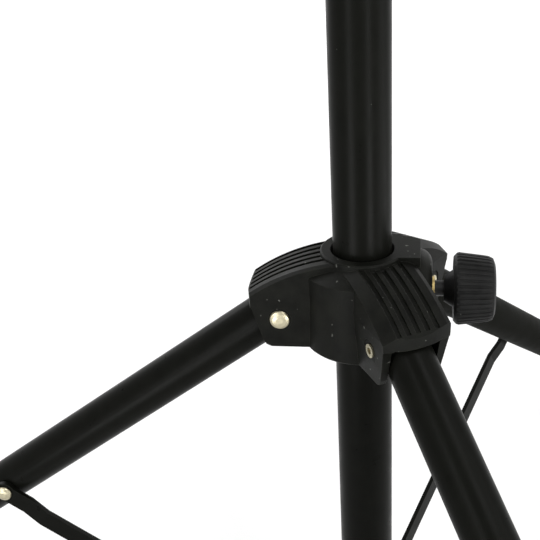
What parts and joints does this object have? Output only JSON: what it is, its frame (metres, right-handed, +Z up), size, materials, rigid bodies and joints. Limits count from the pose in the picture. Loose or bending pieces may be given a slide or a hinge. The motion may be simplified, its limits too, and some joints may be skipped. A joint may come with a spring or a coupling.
{
  "type": "music stand",
  "caption": "Folding tripod music stand: ribbed hub sliding on a mast, jointed legs and braces, height clutch and a tilting perforated desk.",
  "frame": {"origin": "on the mast axis at the floor, the middle of the mast foot's flat underside", "axes": "+Z up along the mast; -Y toward the player, whom the desk faces; +X to the player's right"},
  "size_m": [0.5756, 0.5016, 1.2474],
  "materials": {
    "black_steel": "black satin powder coat",
    "black_plastic": "black moulded, fine matt grain",
    "knob_plastic": "black moulded, fluted",
    "rubber": "matt",
    "brass": "turned",
    "nickel": "nickel plated",
    "dark_steel": "black zinc",
    "nylon": "nylon"
  },
  "bodies": {
    "mast": {"main_tube": "black_steel", "mast_foot": "black_plastic", "brace_collar": "black_plastic", "collar_screw": "dark_steel", "collar_rivets": "nickel", "height_clutch": "black_plastic", "clutch_insert": "brass"},
    "hub": {"tripod_hub": "black_plastic", "hub_rivets": "nickel", "hub_insert": "brass"},
    "hub_clamp": {"hub_knob": "knob_plastic", "hub_screw": "dark_steel"},
    "clutch_clamp": {"clutch_knob": "knob_plastic", "clutch_screw": "dark_steel"},
    "swivel": {"clutch_bush": "nylon"},
    "upper": {"upper_tube": "black_steel", "slide_guide": "nylon", "tilt_head": "black_plastic", "head_pin": "nickel"},
    "desk": {"desk_panel": "black_steel", "desk_ledge": "black_steel", "ledge_rivets": "dark_steel", "tilt_bracket": "black_steel", "bracket_rivets": "dark_steel", "friction_washers": "nylon", "tilt_bolt": "dark_steel"},
    "tilt_clamp": {"tilt_knob": "knob_plastic"},
    "brace_left": {"brace_left": "black_steel"},
    "leg_left": {"leg_left": "black_steel", "foot_left": "rubber", "brace_rivet_left": "nickel"},
    "brace_front": {"brace_front": "black_steel"},
    "leg_front": {"leg_front": "black_steel", "foot_front": "rubber", "brace_rivet_front": "nickel"},
    "brace_rear": {"brace_rear": "black_steel"},
    "leg_rear": {"leg_rear": "black_steel", "foot_rear": "rubber", "brace_rivet_rear": "nickel"}
  },
  "joints": [
    {"name": "tripod_fold", "type": "hinge", "parent": "mast", "child": "brace_left", "pos_m": [0, 0.031, 0.03002], "axis": [1, 0, 0], "range_deg": [0, 52]},
    {"name": "leg_turn_left", "type": "hinge", "parent": "brace_left", "child": "leg_left", "pos_m": [0, 0.1602, 0.12354], "axis": [-1, 0, 0], "range_deg": [0, 104]},
    {"name": "brace_turn_front", "type": "hinge", "parent": "mast", "child": "brace_front", "pos_m": [-0.02685, -0.0155, 0.03002], "axis": [-0.5, 0.866, 0], "range_deg": [0, 52]},
    {"name": "leg_turn_front", "type": "hinge", "parent": "brace_front", "child": "leg_front", "pos_m": [-0.13873, -0.0801, 0.12354], "axis": [0.5, -0.866, 0], "range_deg": [0, 104]},
    {"name": "brace_turn_rear", "type": "hinge", "parent": "mast", "child": "brace_rear", "pos_m": [0.02685, -0.0155, 0.03002], "axis": [-0.5, -0.866, 0], "range_deg": [0, 52]},
    {"name": "leg_turn_rear", "type": "hinge", "parent": "brace_rear", "child": "leg_rear", "pos_m": [0.13873, -0.0801, 0.12354], "axis": [0.5, 0.866, 0], "range_deg": [0, 104]},
    {"name": "hub_carry", "type": "hinge", "parent": "leg_left", "child": "hub", "pos_m": [0, 0.031, 0.21707], "axis": [1, 0, 0], "range_deg": [0, 52]},
    {"name": "hub_knob_turn", "type": "hinge", "parent": "hub", "child": "hub_clamp", "pos_m": [0, -0.043, 0.22497], "axis": [0, -1, 0], "range_deg": [0, 360]},
    {"name": "clutch_knob_turn", "type": "hinge", "parent": "mast", "child": "clutch_clamp", "pos_m": [0, 0.043, 0.574], "axis": [0, 1, 0], "range_deg": [0, 360]},
    {"name": "desk_swivel", "type": "hinge", "parent": "mast", "child": "swivel", "pos_m": [0, 0, 0.572], "axis": [0, 0, 1], "continuous": true},
    {"name": "height_slide", "type": "slide", "parent": "swivel", "child": "upper", "axis": [0, 0, 1], "range_m": [-0.3, 0.07]},
    {"name": "desk_tilt", "type": "hinge", "parent": "upper", "child": "desk", "pos_m": [0, 0, 1.022], "axis": [-1, 0, 0], "range_deg": [-20, 70]},
    {"name": "tilt_knob_turn", "type": "hinge", "parent": "desk", "child": "tilt_clamp", "pos_m": [0.018, 0, 1.022], "axis": [1, 0, 0], "range_deg": [0, 360]}
  ],
  "couplings": [
    {"joint": "leg_turn_left", "follows": "tripod_fold", "ratio": 2},
    {"joint": "brace_turn_front", "follows": "tripod_fold", "ratio": 1},
    {"joint": "leg_turn_front", "follows": "tripod_fold", "ratio": 2},
    {"joint": "brace_turn_rear", "follows": "tripod_fold", "ratio": 1},
    {"joint": "leg_turn_rear", "follows": "tripod_fold", "ratio": 2},
    {"joint": "hub_carry", "follows": "tripod_fold", "ratio": 1}
  ]
}
